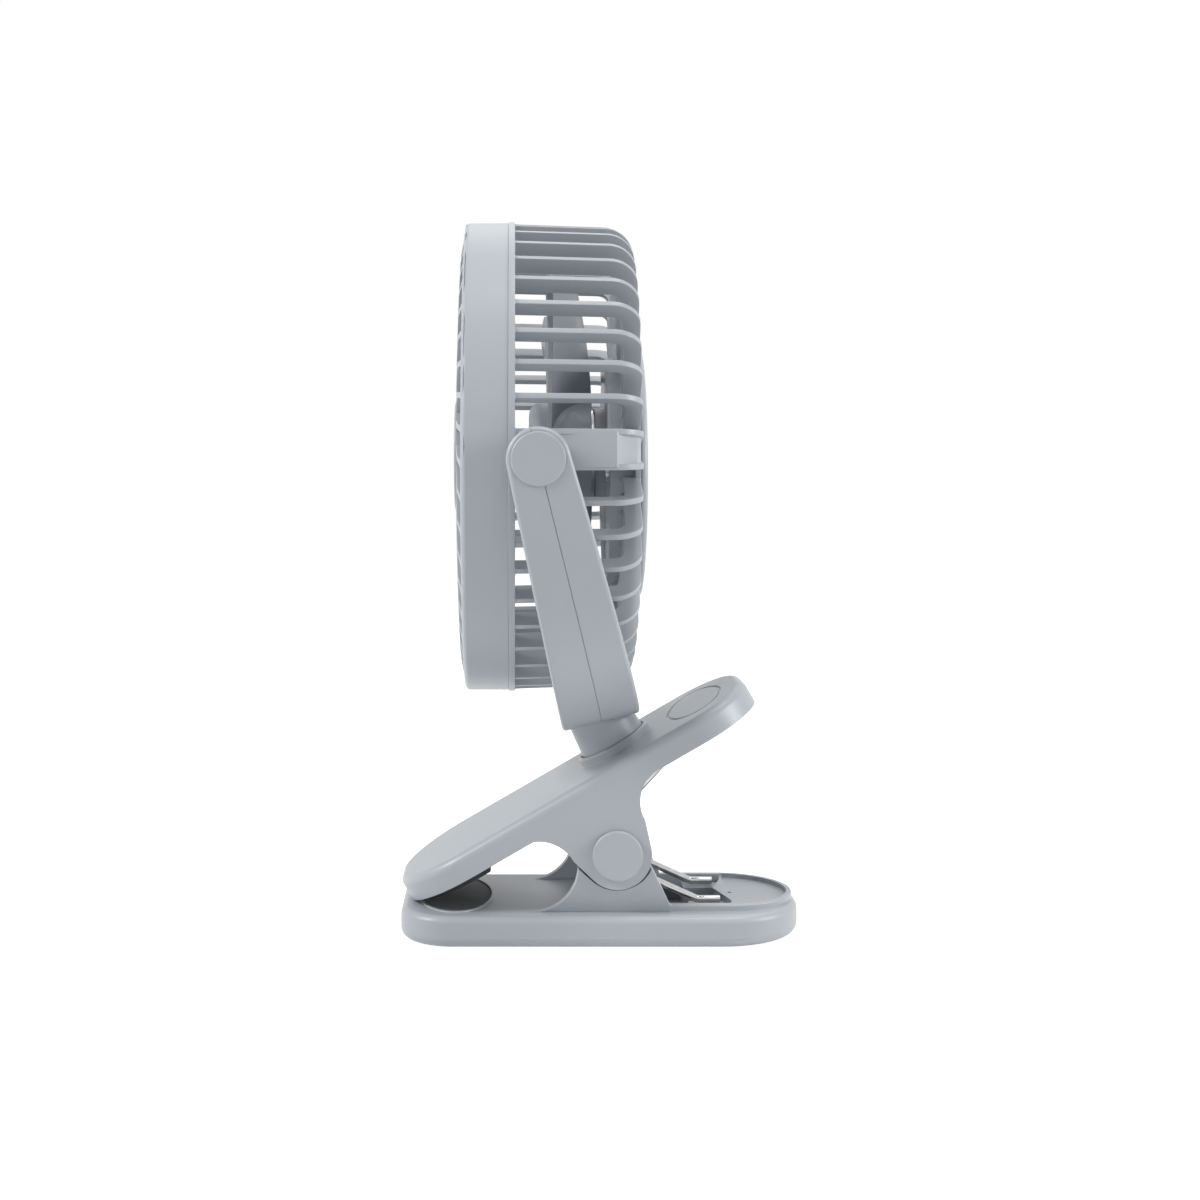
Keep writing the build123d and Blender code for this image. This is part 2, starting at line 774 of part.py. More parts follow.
with BuildPart() as neck_washer:
    extrude(collar_disc(spigot_end, neck_washer_radius), amount=-neck_washer_thickness)
    extrude(
        collar_disc(spigot_end, neck_screw_radius + thread_gap),
        amount=-neck_washer_thickness,
        mode=Mode.SUBTRACT,
    )

with BuildPart() as neck_screw:
    washer_face = spigot_end - neck_washer_thickness
    extrude(collar_disc(washer_face, neck_screw_radius), amount=neck_screw_length)
    extrude(collar_disc(washer_face, neck_screw_head), amount=-neck_screw_head_height)
    fillet(neck_screw.faces().sort_by(Axis(hinge, slope_up))[0].edges(), neck_screw_head_height / 3)

# ---------------------------------------------------------------- yoke
yoke_bottom = yoke_outer + 2 * yoke_drop
cap_seat = yoke_outer - cap_recess
head_seat = yoke_inner + pivot_web


def yoke_band(outer, inner, side_inset):
    """The U band between two radii round the pivot, with its sides drawn in."""
    with BuildPart() as band:
        with BuildSketch(yoke_outer_ring):
            Circle(outer)
        extrude(amount=2 * arm_foot_half, both=True)
        with BuildSketch(yoke_ring):
            Circle(inner)
        extrude(amount=2 * arm_foot_half, both=True, mode=Mode.SUBTRACT)
        with BuildSketch(yoke_side):
            with BuildLine():
                Polyline(
                    (side_inset - arm_end_radius, 0),
                    (arm_end_radius - side_inset, 0),
                    (arm_foot_half - side_inset, -yoke_bottom),
                    (side_inset - arm_foot_half, -yoke_bottom),
                    close=True,
                )
            make_face()
            Circle(arm_end_radius - side_inset)
        extrude(amount=yoke_bottom, both=True, mode=Mode.INTERSECT)
    return band.part


with BuildPart() as yoke_hollow:
    add(yoke_band(yoke_outer - yoke_wall, yoke_inner + yoke_wall, yoke_wall))
    with BuildSketch(yoke_ring):
        Rectangle(2 * yoke_core_half, 3 * yoke_outer)
        Rectangle(3 * yoke_outer, 2 * arm_solid)
    extrude(amount=2 * arm_foot_half, both=True, mode=Mode.SUBTRACT)

with BuildPart() as yoke:
    add(yoke_band(yoke_outer, yoke_inner, 0))
    fillet(yoke.faces().filter_by(GeomType.CYLINDER).sort_by(SortBy.AREA)[-1].edges(), yoke_round)
    with BuildSketch(yoke_outer_ring):
        Circle(yoke_outer)
        Circle(yoke_outer - parting_groove, mode=Mode.SUBTRACT)
    extrude(amount=parting_groove / 2, both=True, mode=Mode.SUBTRACT)
    add(yoke_hollow.part, mode=Mode.SUBTRACT)
    add(neck_post(running_gap), mode=Mode.SUBTRACT)
    extrude(
        yoke_screw_discs(yoke_inner / 2, yoke_screw_head + thread_gap),
        amount=screw_seat - yoke_inner / 2,
        mode=Mode.SUBTRACT,
    )
    extrude(
        yoke_screw_discs(yoke_inner, yoke_screw_radius + thread_gap),
        amount=yoke_thickness,
        mode=Mode.SUBTRACT,
    )
    for radius, seat in (
        (shoulder_radius + running_gap, yoke_inner / 2),
        (pivot_head_radius + body_gap, head_seat),
        (pivot_cap_radius + thread_gap, cap_seat),
    ):
        with BuildSketch(pivot_side.offset(seat)):
            Circle(radius)
        extrude(amount=yoke_outer, mode=Mode.SUBTRACT)
        with BuildSketch(pivot_side.offset(-seat)):
            Circle(radius)
        extrude(amount=-yoke_outer, mode=Mode.SUBTRACT)

with BuildPart() as yoke_front_shell:
    add(yoke.part)
    split(bisect_by=yoke_ring, keep=Keep.BOTTOM)

with BuildPart() as yoke_rear_shell:
    add(yoke.part)
    split(bisect_by=yoke_ring, keep=Keep.TOP)

with BuildPart() as yoke_screws:
    extrude(yoke_screw_discs(screw_seat, yoke_screw_radius), amount=yoke_screw_length)
    extrude(yoke_screw_discs(screw_seat, yoke_screw_head), amount=-yoke_screw_head_height)


def pivot_disc(distance, radius):
    """Circle round the pivots' axis on the near side, at a distance from the middle."""
    with BuildSketch(pivot_side.offset(distance)) as disc:
        Circle(radius)
    return disc.sketch


washer_seat = yoke_inner - washer_play - washer_thickness

with BuildPart() as pivot_caps:
    extrude(pivot_disc(cap_seat, pivot_cap_radius), amount=pivot_cap_thickness)
    fillet(pivot_caps.faces().sort_by(Axis.Y)[0].edges(), cap_round)
    extrude(pivot_disc(cap_seat, pivot_head_radius), amount=-pivot_cap_plug)
    mirror(about=Plane.XZ)

with BuildPart() as pivot_screws:
    extrude(pivot_disc(head_seat + running_gap, pivot_head_radius), amount=pivot_head_thickness)
    extrude(pivot_disc(washer_seat, shoulder_radius), amount=head_seat + running_gap - washer_seat)
    extrude(pivot_disc(washer_seat, pivot_thread_radius), amount=-pivot_thread_length)
    mirror(about=Plane.XZ)

with BuildPart() as friction_washers:
    extrude(pivot_disc(washer_seat, washer_radius), amount=washer_thickness)
    extrude(
        pivot_disc(washer_seat, shoulder_radius + running_gap),
        amount=washer_thickness,
        mode=Mode.SUBTRACT,
    )
    mirror(about=Plane.XZ)

# ---------------------------------------------------------------- rear cage
corner_centre = cage_radius - cage_taper - cage_corner
cage_back = cage_shoulder + cage_corner
rib_step = 360 / rib_count
rib_angles = [-90 + rib_step * index for index in range(rib_count)]
panel_ribs = rib_count // 4
panel_start = rib_angles[panel_ribs]


def cage_profile():
    """Section of a rib from the seam round the corner to the cage's middle."""
    with BuildSketch() as profile:
        with BuildLine():
            outer = CenterArc((cage_shoulder, corner_centre), cage_corner, 0, 90)
            inner = CenterArc((cage_shoulder, corner_centre), cage_corner - rib_depth, 0, 90)
            Polyline(
                outer @ 0,
                (cage_back + cage_centre_rise, rib_end),
                (cage_back + cage_centre_rise - rib_depth, rib_end),
                inner @ 0,
            )
            Polyline(
                outer @ 1,
                (seam_x, cage_radius),
                (seam_x, cage_radius - rib_depth),
                inner @ 1,
            )
        make_face()
    return profile.sketch


def panel_profile():
    """Section of a side panel, whose corner is cut off in two flats."""
    panel_radius = cage_radius - side_panel_recess
    panel_back = cage_back - side_panel_recess
    with BuildSketch() as profile:
        with BuildLine():
            Polyline(
                (seam_x, panel_radius),
                (panel_crease, panel_radius),
                (panel_crease + panel_facet, panel_radius - panel_facet),
                (panel_back, panel_radius - panel_facet - panel_fall),
                (panel_back + cage_centre_rise, rib_end),
            )
            offset(amount=side_panel_wall, side=Side.RIGHT, kind=Kind.INTERSECTION)
        make_face()
    return profile.sketch


def fan_ring(start, outer, inner, z=head_z):
    """Ring face square to the fan's axis."""
    with BuildSketch(across_fan(start, z)) as ring:
        Circle(outer)
        if inner:
            Circle(inner, mode=Mode.SUBTRACT)
    return ring.sketch


housing_inner = housing_radius - housing_wall
inner_front = housing_front + housing_floor
board_back = inner_front + battery_thickness + board_gap


def board_posts(x):
    """Circles of the four posts that hold the circuit board between cage and cover."""
    with BuildSketch(across_fan(x, housing_z)) as posts:
        with GridLocations(post_spread, post_rise, 2, 2):
            Circle(post_radius)
    return posts.sketch


with BuildPart() as rear_cage:
    with BuildSketch(*[rib_plane(angle) for angle in rib_angles]):
        add(cage_profile())
    extrude(amount=rib_width / 2, both=True)
    # Solid panels at both sides, each over one gap
    for start in (panel_start, 180 - panel_start - rib_step):
        revolve(rib_plane(start) * panel_profile(), fan_axis, rib_step)
    # Front ring and the lip that seats in the rim
    lip_radius = rim_radius - rim_wall - thread_gap
    extrude(
        fan_ring(seam_x, rim_radius + seam_ridge, lip_radius - lip_wall),
        amount=slot_start - seam_x,
    )
    extrude(fan_ring(seam_x, lip_radius, lip_radius - lip_wall), amount=-lip_length)
    # Housing for the battery and circuit
    extrude(
        fan_ring(housing_front, housing_radius, 0, housing_z), amount=back_cover_x - housing_front
    )
    extrude(
        fan_ring(back_cover_x - cover_seat, cover_radius, 0, housing_z), amount=cover_seat
    )
    extrude(
        fan_ring(inner_front, housing_inner, 0, housing_z),
        amount=back_cover_x,
        mode=Mode.SUBTRACT,
    )
    extrude(board_posts(inner_front), amount=board_back - inner_front)
    # Socket that holds the motor
    extrude(
        fan_ring(housing_front, motor_radius + motor_socket_wall, motor_radius),
        amount=-motor_socket_length,
    )
    extrude(fan_ring(housing_front, wire_hole_radius, 0), amount=housing_floor, mode=Mode.SUBTRACT)
    # Holes for the screws of the back cover
    with BuildSketch(across_fan(housing_front, housing_z)):
        with PolarLocations(inner_boss_at, 4):
            Circle(inner_screw_radius + thread_gap)
    extrude(amount=housing_floor, mode=Mode.SUBTRACT)
    # Bosses of the head's pivots
    for side in (1, -1):
        pivot_face = pivot_disc(washer_seat, pivot_boss_radius)
        boss = extrude(
            pivot_face, amount=cage_radius - pivot_boss_reach - washer_seat, mode=Mode.PRIVATE
        )
        drill = extrude(
            pivot_disc(washer_seat, pivot_thread_radius + thread_gap),
            amount=-pivot_thread_length - thread_gap,
            mode=Mode.PRIVATE,
        )
        add(boss if side > 0 else boss.mirror(Plane.XZ))
        add(drill if side > 0 else drill.mirror(Plane.XZ), mode=Mode.SUBTRACT)

# ---------------------------------------------------------------- front guard
rim_inner = rim_radius - rim_wall
grille_front = rim_front - grille_rise
crown_middle = (grille_shoulder_radius + guard_cap_radius) / 2
crown_middle_x = rim_front - (grille_rise + grille_shoulder_rise) / 2 - grille_crown


def grille_rib(start, end):
    """One curved rib of the grille between two radii, leaning round as it goes out."""
    lean = radians(grille_sweep) * (end - start) / rim_radius
    middle = (start + end) / 2
    with BuildSketch() as rib:
        with BuildLine():
            ThreePointArc(
                (start, 0),
                (middle * cos(lean / 3), middle * sin(lean / 3)),
                (end * cos(lean), end * sin(lean)),
            )
        trace(line_width=grille_rib_width)
    return rib.sketch


with BuildPart() as grille:
    with BuildSketch(fan_section):
        with BuildLine():
            crown = ThreePointArc(
                (rim_front - grille_shoulder_rise, grille_shoulder_radius),
                (crown_middle_x, crown_middle),
                (grille_front, guard_cap_radius),
            )
            Polyline(
                crown @ 1,
                (grille_front, 0),
                (grille_front + grille_depth, 0),
                (grille_front + grille_depth, guard_cap_radius),
                (rim_front + grille_depth, rim_inner),
                (rim_front, rim_inner),
                crown @ 0,
            )
        make_face()
    revolve(axis=fan_axis)
    with BuildSketch(across_fan(grille_front - 1)):
        Circle(guard_cap_radius)
        with BuildSketch(mode=Mode.PRIVATE) as middle_ring:
            Circle(grille_ring_radius + grille_ring_width / 2)
            Circle(grille_ring_radius - grille_ring_width / 2, mode=Mode.SUBTRACT)
        add(middle_ring.sketch)
        with PolarLocations(0, rib_count):
            add(grille_rib(grille_ring_radius, rim_inner + rim_wall / 2))
        with PolarLocations(0, grille_inner_ribs):
            add(grille_rib(guard_cap_radius - grille_rib_width, grille_ring_radius))
    extrude(amount=grille_rise + grille_depth + 2, mode=Mode.INTERSECT)

with BuildPart() as front_guard:
    with BuildSketch(fan_section) as rim_section:
        with BuildLine():
            Polyline(
                (seam_x, rim_radius),
                (rim_front, rim_radius),
                (rim_front, rim_radius - rim_lip),
                (rim_front + rim_wall, rim_radius - rim_lip),
                (rim_front + rim_wall, rim_inner),
                (seam_x, rim_inner),
                close=True,
            )
        make_face()
        fillet(rim_section.vertices().group_by(Axis.X)[0].sort_by(Axis.Y)[-1], rim_round)
    revolve(axis=fan_axis)
    add(grille.part)

with BuildPart() as guard_cap:
    extrude(fan_ring(grille_front, guard_cap_radius, 0), amount=-guard_cap_thickness)
    fillet(guard_cap.faces().sort_by(Axis.X)[0].edges(), guard_cap_thickness / 2)

# ---------------------------------------------------------------- motor and rotor
hub_floor = hub_front + hub_wall

with BuildPart() as motor:
    extrude(fan_ring(motor_front, motor_radius, 0), amount=housing_front - motor_front)
    fillet(motor.faces().sort_by(Axis.X)[0].edges(), motor_round)
    extrude(
        fan_ring(motor_front, shaft_radius + running_gap, 0),
        amount=shaft_inside + body_gap,
        mode=Mode.SUBTRACT,
    )

with BuildPart() as motor_shaft:
    extrude(fan_ring(hub_floor, shaft_radius, 0), amount=motor_front + shaft_inside - hub_floor)


def blade_section(radius, lag, chord, pitch):
    """Bowed section of a blade, square to its own radius."""
    turn = radians(lag)
    radial = Vector(0, sin(turn), cos(turn))
    round_way = Vector(0, cos(turn), -sin(turn))
    chord_way = Vector(sin(radians(pitch)), 0, 0) + round_way * cos(radians(pitch))
    half = chord / 2
    thick = blade_thickness / 2
    centre_x = blade_front + thick + half * sin(radians(pitch))
    centre = Vector(fan_x + centre_x, 0, head_z) + radial * radius
    bow = chord * blade_bow
    with BuildSketch(Plane(origin=centre, x_dir=chord_way, z_dir=radial)) as section:
        with BuildLine():
            top = ThreePointArc((-half, thick), (0, bow + thick), (half, thick))
            bottom = ThreePointArc((-half, -thick), (0, bow - thick), (half, -thick))
            Line(top @ 0, bottom @ 0)
            Line(top @ 1, bottom @ 1)
        make_face()
    return section.sketch


with BuildPart() as blade:
    loft(
        [
            blade_section(radius, lag, chord, pitch).face()
            for radius, lag, chord, pitch in (
                (hub_radius - 2 * hub_wall, 0, blade_root_chord, blade_root_pitch),
                (
                    (hub_radius + blade_tip_radius) / 2,
                    blade_mid_lag,
                    blade_mid_chord,
                    blade_mid_pitch,
                ),
                (blade_tip_radius + blade_overrun, blade_tip_lag, blade_tip_chord, blade_tip_pitch),
            )
        ]
    )
    extrude(
        fan_ring(hub_front - blade_tip_chord, blade_tip_radius, 0),
        amount=2 * blade_tip_chord + hub_back - hub_front,
        mode=Mode.INTERSECT,
    )

with BuildPart() as hub_hollow:
    extrude(fan_ring(hub_floor, hub_radius - hub_wall, 0), amount=hub_back - hub_floor)
    fillet(hub_hollow.faces().sort_by(Axis.X)[0].edges(), hub_round - hub_wall)

with BuildPart() as fan_blades:
    extrude(fan_ring(hub_front, hub_radius, 0), amount=hub_back - hub_front)
    fillet(fan_blades.faces().sort_by(Axis.X)[0].edges(), hub_round)
    for index in range(blade_count):
        add(blade.part.rotate(fan_axis, 360 / blade_count * (index + 0.5)))
    add(hub_hollow.part, mode=Mode.SUBTRACT)
    extrude(fan_ring(hub_floor, hub_boss_radius, 0), amount=motor_front - body_gap - hub_floor)
    extrude(fan_ring(hub_floor, shaft_radius, 0), amount=hub_back - hub_floor, mode=Mode.SUBTRACT)

# ---------------------------------------------------------------- back cover and electrics
skirt_start = back_cover_x - cover_skirt
button_z = housing_z - button_drop
port_z = housing_z - port_drop
lens_z = housing_z + lens_rise
cover_face = back_cover_x + back_cover_thickness
board_face = board_back + board_thickness


def back_shape(x, z, width, height, corner):
    """Round-cornered shape on the back, at a height."""
    with BuildSketch(across_fan(x, z)) as shape:
        RectangleRounded(width, height, corner)
    return shape.sketch


def screw_discs(x, radius):
    """Circles round the back cover's four screws."""
    with BuildSketch(across_fan(x, housing_z)) as discs:
        with PolarLocations(inner_boss_at, 4):
            Circle(radius)
    return discs.sketch


with BuildPart() as back_cover:
    extrude(fan_ring(back_cover_x, cover_radius, 0, housing_z), amount=back_cover_thickness)
    fillet(back_cover.faces().sort_by(Axis.X)[-1].edges(), back_cover_round)
    skirt_radius = housing_inner - thread_gap
    extrude(board_posts(board_face), amount=back_cover_x - board_face)
    extrude(
        fan_ring(skirt_start, skirt_radius, skirt_radius - cover_skirt, housing_z),
        amount=cover_skirt,
    )
    extrude(screw_discs(inner_front, inner_boss_radius), amount=back_cover_x - inner_front)
    extrude(
        screw_discs(inner_front, inner_screw_radius + thread_gap),
        amount=inner_screw_length - housing_floor,
        mode=Mode.SUBTRACT,
    )
    button_bore = button_radius + button_gap
    extrude(
        fan_ring(skirt_start, button_bore, 0, button_z), amount=cover_face, mode=Mode.SUBTRACT
    )
    extrude(
        back_shape(
            skirt_start, port_z, port_width + port_play, port_height + port_play, port_corner
        ),
        amount=cover_face,
        mode=Mode.SUBTRACT,
    )
    extrude(
        back_shape(skirt_start, lens_z, lens_length, lens_width, lens_width / 2 - thread_gap),
        amount=cover_face,
        mode=Mode.SUBTRACT,
    )

with BuildPart() as cover_screws:
    extrude(screw_discs(housing_front, inner_screw_radius), amount=inner_screw_length)
    extrude(screw_discs(housing_front, inner_screw_head), amount=-inner_screw_radius)

with BuildPart() as battery:
    extrude(
        back_shape(inner_front, housing_z, battery_length, battery_height, battery_corner),
        amount=battery_thickness,
    )
    fillet(battery.edges().filter_by(Plane.YZ), battery_round)

with BuildPart() as circuit_board:
    extrude(fan_ring(board_back, board_radius, 0, housing_z), amount=board_thickness)

button_under = board_face + switch_height + button_travel

with BuildPart() as power_switch:
    extrude(
        back_shape(board_face, button_z, switch_size, switch_size, switch_size / 8),
        amount=switch_height,
    )

with BuildPart() as power_button:
    extrude(fan_ring(button_under, button_flange, 0, button_z), amount=button_flange_thickness)
    extrude(
        fan_ring(button_under, button_radius, 0, button_z),
        amount=cover_face + button_proud - button_under,
    )
    fillet(power_button.faces().sort_by(Axis.X)[-1].edges(), button_proud)

with BuildPart() as charging_port:
    extrude(
        back_shape(board_face, port_z, port_width, port_height, port_corner),
        amount=cover_face - port_sink - board_face,
    )
    extrude(
        back_shape(
            board_face + port_wall,
            port_z,
            port_width - 2 * port_wall,
            port_height - 2 * port_wall,
            port_corner - port_wall,
        ),
        amount=cover_face,
        mode=Mode.SUBTRACT,
    )
    extrude(
        back_shape(
            board_face,
            port_z,
            port_width - 6 * port_wall,
            2 * port_wall,
            port_wall / 2,
        ),
        amount=cover_face - 4 * port_sink - board_face,
    )

with BuildPart() as indicator_lens:
    lens_corner = lens_width / 2 - thread_gap
    extrude(
        back_shape(board_face, lens_z, lens_length, lens_width, lens_corner),
        amount=cover_face - board_face,
    )

# ---------------------------------------------------------------- write the pieces
pieces = {
    "upper_jaw": upper_jaw,
    "upper_jaw_pad": upper_jaw_pad,
    "base_shell": base_shell,
    "base_cover": base_cover,
    "base_cover_screws": base_cover_screws,
    "lower_jaw_pad": lower_jaw_pad,
    "hinge_pin": hinge_pin,
    "hinge_caps": hinge_caps,
    "torsion_spring": torsion_spring,
    "swivel_neck": swivel_neck,
    "neck_washer": neck_washer,
    "neck_screw": neck_screw,
    "yoke_front_shell": yoke_front_shell,
    "yoke_rear_shell": yoke_rear_shell,
    "yoke_screws": yoke_screws,
    "pivot_caps": pivot_caps,
    "pivot_screws": pivot_screws,
    "friction_washers": friction_washers,
    "rear_cage": rear_cage,
    "front_guard": front_guard,
    "guard_cap": guard_cap,
    "motor": motor,
    "motor_shaft": motor_shaft,
    "fan_blades": fan_blades,
    "back_cover": back_cover,
    "cover_screws": cover_screws,
    "battery": battery,
    "circuit_board": circuit_board,
    "power_switch": power_switch,
    "power_button": power_button,
    "charging_port": charging_port,
    "indicator_lens": indicator_lens,
}
os.makedirs("parts", exist_ok=True)
for name, piece in pieces.items():
    piece.part.label = name
    export_step(piece.part, f"parts/{name}.step")
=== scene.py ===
from math import radians

import bpy
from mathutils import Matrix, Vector


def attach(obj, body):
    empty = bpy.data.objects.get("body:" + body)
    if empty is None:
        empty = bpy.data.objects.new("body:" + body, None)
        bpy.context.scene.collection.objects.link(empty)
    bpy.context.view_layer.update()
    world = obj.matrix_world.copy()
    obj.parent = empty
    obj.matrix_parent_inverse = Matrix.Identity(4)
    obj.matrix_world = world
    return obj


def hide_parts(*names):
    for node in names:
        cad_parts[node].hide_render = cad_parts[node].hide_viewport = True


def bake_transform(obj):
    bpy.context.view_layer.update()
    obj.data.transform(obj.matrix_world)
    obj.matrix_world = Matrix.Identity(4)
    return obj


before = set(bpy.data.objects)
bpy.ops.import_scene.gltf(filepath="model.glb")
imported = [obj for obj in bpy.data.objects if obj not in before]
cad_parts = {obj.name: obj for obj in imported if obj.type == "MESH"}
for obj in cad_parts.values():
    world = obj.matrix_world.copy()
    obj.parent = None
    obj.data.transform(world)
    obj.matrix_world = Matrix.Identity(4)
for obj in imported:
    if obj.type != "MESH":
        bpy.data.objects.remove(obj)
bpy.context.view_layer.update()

# The small clip fan, dressed. Metres, in the part's own frame: +Z up, -X where the air
# leaves, Y along the hinge pins.
mm = 0.001
sliver = 0.03 * mm  # points nearer than this are one point in a rounded copy
white_room = bpy.context.scene

# ---------------------------------------------------------------- workshop helpers


def pick(*pieces):
    """Leaves only these pieces selected, the first of them active."""
    bpy.ops.object.select_all(action="DESELECT")
    for piece in pieces:
        piece.select_set(True)
    bpy.context.view_layer.objects.active = pieces[0]


def linear(colour):
    """Linear colour of an sRGB hex value."""
    parts = [int(colour[start : start + 2], 16) / 255 for start in (1, 3, 5)]
    return [p / 12.92 if p <= 0.04045 else ((p + 0.055) / 1.055) ** 2.4 for p in parts] + [1]


def put(tree, kind, sockets=None, **settings):
    """Adds a shader node. A socket takes a number, a colour or the output that feeds it."""
    node = tree.nodes.new(kind)
    for name, value in settings.items():
        setattr(node, name, value)
    for name, value in (sockets or {}).items():
        if isinstance(value, bpy.types.NodeSocket):
            tree.links.new(value, node.inputs[name])
        else:
            node.inputs[name].default_value = value
    return node


def new_material(name):
    """An empty material and its node tree."""
    material = bpy.data.materials.new(name)
    material.use_nodes = True
    material.node_tree.nodes.clear()
    return material, material.node_tree


def looked_at(tree):
    """1 for rays that show the ground itself: to the camera, in gloss and through clear."""
    ray = put(tree, "ShaderNodeLightPath")
    seen = put(
        tree,
        "ShaderNodeMath",
        {0: ray.outputs["Is Camera Ray"], 1: ray.outputs["Is Glossy Ray"]},
        operation="MAXIMUM",
    )
    seen = put(
        tree,
        "ShaderNodeMath",
        {0: seen.outputs["Value"], 1: ray.outputs["Is Transmission Ray"]},
        operation="MAXIMUM",
    )
    return seen.outputs["Value"]


def two_tones(tree, amount, first, second):
    """Ramp between two hex colours, fed by a pattern."""
    ramp = put(tree, "ShaderNodeValToRGB", {"Fac": amount})
    ramp.color_ramp.elements[0].color = linear(first)
    ramp.color_ramp.elements[1].color = linear(second)
    return ramp.outputs["Color"]


# ---------------------------------------------------------------- finishes


def abs_plastic():
    """Injection moulded ABS, cool light grey, from a tool with a fine eroded texture.

    The eye gets a soft sheen that breaks up in a faint grain, and flow marks that shift
    the grey by a hair over a few centimetres.
    """
    material, tree = new_material("moulded_abs_light_grey")
    place = put(tree, "ShaderNodeTexCoord").outputs["Object"]
    flow = put(tree, "ShaderNodeTexNoise", {"Vector": place, "Scale": 28.0, "Detail": 2.0})
    # The real texture is 0.1 mm; it is drawn at 0.7 mm, the finest that shows
    grain = put(tree, "ShaderNodeTexNoise", {"Vector": place, "Scale": 1400.0, "Detail": 3.0})
    relief = put(
        tree,
        "ShaderNodeBump",
        {"Height": grain.outputs["Fac"], "Strength": 0.16, "Distance": 0.05 * mm},
    )
    gloss = put(
        tree,
        "ShaderNodeMapRange",
        {"Value": grain.outputs["Fac"], "To Min": 0.3, "To Max": 0.44},
    )
    surface = put(
        tree,
        "ShaderNodeBsdfPrincipled",
        {
            "Base Color": two_tones(tree, flow.outputs["Fac"], "#ACB3B9", "#B3B9BF"),
            "Roughness": gloss.outputs["Result"],
            "IOR": 1.54,
            "Normal": relief.outputs["Normal"],
        },
    )
    put(tree, "ShaderNodeOutputMaterial", {"Surface": surface.outputs["BSDF"]})
    return material


def blade_plastic():
    """Injection moulded polypropylene, satin, a little waxy, as fan blades are."""
    material, tree = new_material("moulded_polypropylene_satin_grey_painted_shade")
    place = put(tree, "ShaderNodeTexCoord").outputs["Object"]
    flow = put(tree, "ShaderNodeTexNoise", {"Vector": place, "Scale": 45.0, "Detail": 2.0})
    # Fine lines that the toolmaker's stone leaves, 0.6 mm apart
    lines = put(
        tree,
        "ShaderNodeTexWave",
        {"Vector": place, "Scale": 500.0, "Distortion": 3.0, "Detail": 1.0},
    )
    relief = put(
        tree,
        "ShaderNodeBump",
        {"Height": lines.outputs["Fac"], "Strength": 0.06, "Distance": 0.03 * mm},
    )
    surface = put(
        tree,
        "ShaderNodeBsdfPrincipled",
        {
            # Painted shade: this grey is darker than the body's grey. Part of that is the blades'
            # own tone, and part stands in for the shade inside the cage.
            "Base Color": two_tones(tree, flow.outputs["Fac"], "#979DA2", "#A0A6AB"),
            "Roughness": 0.34,
            "IOR": 1.49,
            "Normal": relief.outputs["Normal"],
        },
    )
    put(tree, "ShaderNodeOutputMaterial", {"Surface": surface.outputs["BSDF"]})
    return material


def pad_rubber(name, dark, light):
    """Compression moulded silicone rubber: matt, with a dusty bloom and a fine tooth."""
    material, tree = new_material(name)
    place = put(tree, "ShaderNodeTexCoord").outputs["Object"]
    bloom = put(tree, "ShaderNodeTexNoise", {"Vector": place, "Scale": 160.0, "Detail": 4.0})
    tooth = put(tree, "ShaderNodeTexNoise", {"Vector": place, "Scale": 1600.0, "Detail": 2.0})
    relief = put(
        tree,
        "ShaderNodeBump",
        {"Height": tooth.outputs["Fac"], "Strength": 0.3, "Distance": 0.08 * mm},
    )
    surface = put(
        tree,
        "ShaderNodeBsdfPrincipled",
        {
            "Base Color": two_tones(tree, bloom.outputs["Fac"], dark, light),
            "Roughness": 0.68,
            "IOR": 1.43,
            "Sheen Weight": 0.1,
            "Normal": relief.outputs["Normal"],
        },
    )
    put(tree, "ShaderNodeOutputMaterial", {"Surface": surface.outputs["BSDF"]})
    return material


def plain_steel(name, colour, shadow_colour, roughness, spread, grain_scale):
    """Plated or drawn steel: a cloudy plating that changes its gloss more than its colour."""
    material, tree = new_material(name)
    place = put(tree, "ShaderNodeTexCoord").outputs["Object"]
    cloud = put(tree, "ShaderNodeTexNoise", {"Vector": place, "Scale": grain_scale, "Detail": 5.0})
    gloss = put(
        tree,
        "ShaderNodeMapRange",
        {
            "Value": cloud.outputs["Fac"],
            "To Min": roughness - spread,
            "To Max": roughness + spread,
        },
    )
    surface = put(
        tree,
        "ShaderNodeBsdfPrincipled",
        {
            "Base Color": two_tones(tree, cloud.outputs["Fac"], shadow_colour, colour),
            "Metallic": 1.0,
            "Roughness": gloss.outputs["Result"],
        },
    )
    put(tree, "ShaderNodeOutputMaterial", {"Surface": surface.outputs["BSDF"]})
    return material


def turned_motor_can():
    """Deep drawn steel can, nickel plated: rings round it from the drawing, 0.5 mm apart."""
    material, tree = new_material("drawn_steel_can_nickel_plated")
    place = put(tree, "ShaderNodeTexCoord").outputs["Object"]
    rings = put(
        tree,
        "ShaderNodeTexWave",
        {"Vector": place, "Scale": 620.0, "Distortion": 1.5, "Detail": 2.0},
    )
    relief = put(
        tree,
        "ShaderNodeBump",
        {"Height": rings.outputs["Fac"], "Strength": 0.1, "Distance": 0.02 * mm},
    )
    surface = put(
        tree,
        "ShaderNodeBsdfPrincipled",
        {
            "Base Color": two_tones(tree, rings.outputs["Fac"], "#A9ABAD", "#BDBFC0"),
            "Metallic": 1.0,
            "Roughness": 0.32,
            "Normal": relief.outputs["Normal"],
        },
    )
    put(tree, "ShaderNodeOutputMaterial", {"Surface": surface.outputs["BSDF"]})
    return material


